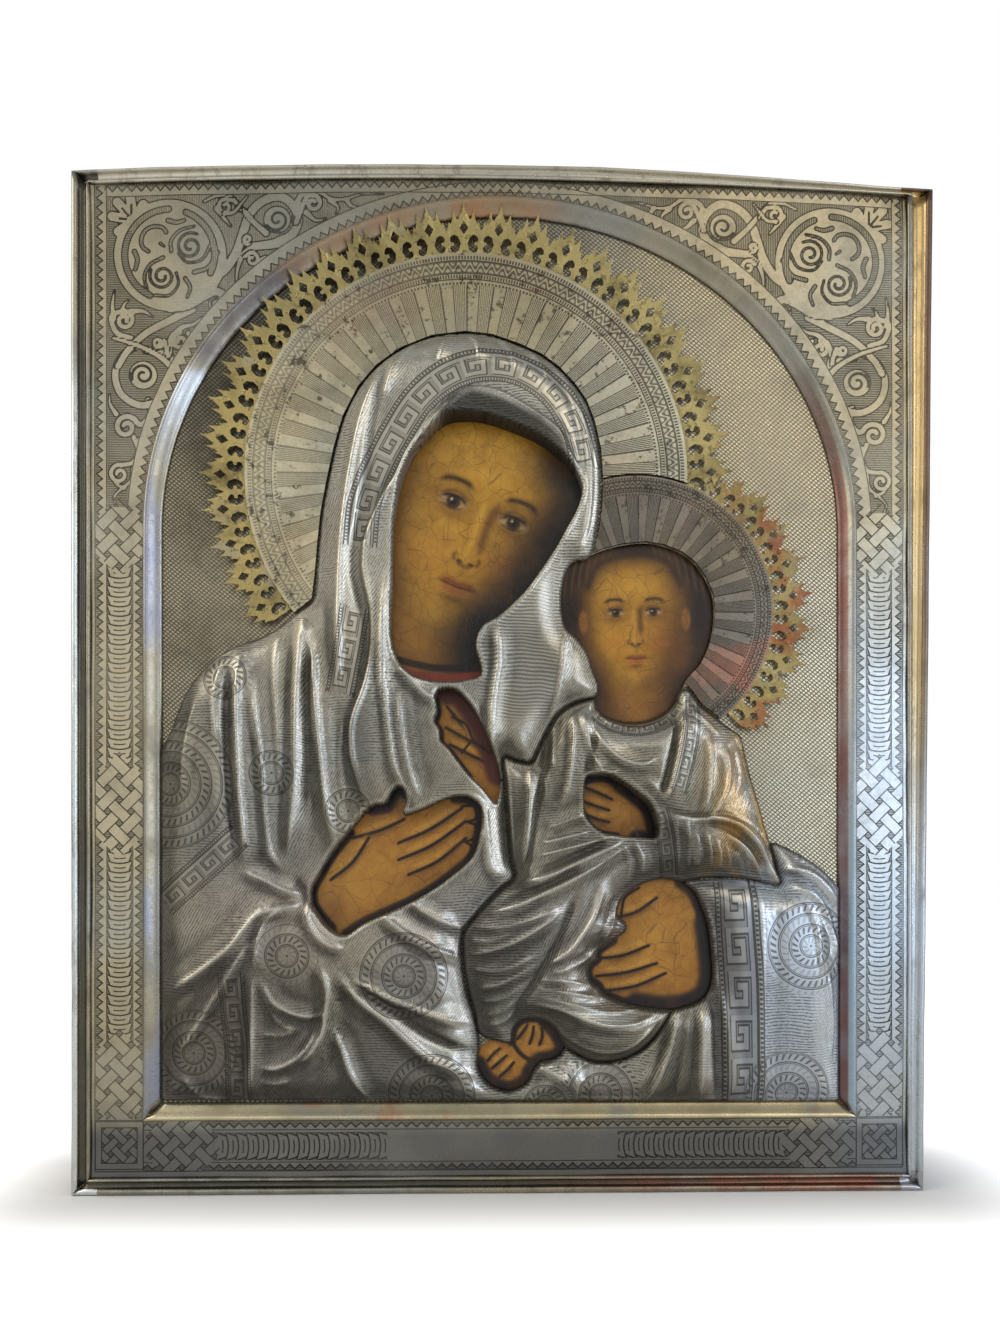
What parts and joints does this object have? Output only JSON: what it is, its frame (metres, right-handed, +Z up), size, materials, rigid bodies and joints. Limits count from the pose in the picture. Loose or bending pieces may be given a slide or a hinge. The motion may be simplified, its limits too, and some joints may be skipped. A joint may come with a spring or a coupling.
{
  "type": "icon cover",
  "caption": "Repousse silver cover with arched field, robes, halos and face openings on a painted wooden panel, battens and hanging ring behind.",
  "frame": {"origin": "middle of the bottom edge of the cover, on the flat underside it stands on, halfway through the boards", "axes": "+X to the right as seen from the front, +Z up, the silver front faces -Y and the battens face +Y"},
  "size_m": [0.2686, 0.0434, 0.3214],
  "materials": {
    "board_wood": "old planed lime wood, oiled dark",
    "batten_wood": "old planed oak",
    "linen": "glued linen",
    "gesso": "chalk gesso",
    "paint": "varnished egg tempera",
    "robe_silver": "chased silver, worn grey",
    "halo_silver": "engraved silver, patinated",
    "rim_gilt": "pierced gilt silver",
    "ground_silver": "silver with engraved lattice",
    "border_silver": "chased silver, patinated",
    "strip_silver": "rolled silver, brown patina",
    "moulding_silver": "plain silver moulding",
    "sill_gilt": "gilt silver moulding",
    "ring_brass": "dull brass",
    "edge_nail": "small domed nail"
  },
  "bodies": {
    "panel": {"board_left": "board_wood", "board_middle": "board_wood", "board_right": "board_wood", "batten_lower": "batten_wood", "batten_upper": "batten_wood", "linen_layer": "linen", "gesso_ground": "gesso", "painted_mother_face": "paint", "painted_child_face": "paint", "painted_mother_right_hand": "paint", "painted_mother_left_hand": "paint", "painted_child_right_hand": "paint", "painted_child_left_hand": "paint", "painted_child_feet": "paint", "mother_robe": "robe_silver", "child_robe": "robe_silver", "mother_halo_plate": "halo_silver", "child_halo_plate": "halo_silver", "mother_halo_rim": "rim_gilt", "child_halo_rim": "rim_gilt", "ground_sheet": "ground_silver", "border_sheet": "border_silver", "edge_strip_left": "strip_silver", "edge_strip_right": "strip_silver", "edge_strip_bottom": "strip_silver", "edge_strip_top": "strip_silver", "arch_moulding": "moulding_silver", "sill_moulding": "sill_gilt", "ring_plate": "ring_brass", "ring_plate_nail_1": "ring_brass", "ring_plate_nail_2": "ring_brass", "edge_nail_left_1": "edge_nail", "edge_nail_left_2": "edge_nail", "edge_nail_left_3": "edge_nail", "edge_nail_left_4": "edge_nail", "edge_nail_right_1": "edge_nail", "edge_nail_right_2": "edge_nail", "edge_nail_right_3": "edge_nail", "edge_nail_right_4": "edge_nail", "edge_nail_top_1": "edge_nail", "edge_nail_top_2": "edge_nail", "edge_nail_top_3": "edge_nail"},
    "ring": {"hanging_ring": "ring_brass"}
  },
  "joints": [
    {"name": "ring_swing", "type": "hinge", "parent": "panel", "child": "ring", "pos_m": [0, 0.0153, 0.28689], "axis": [1, 0, 0], "range_deg": [-5, 170]}
  ]
}
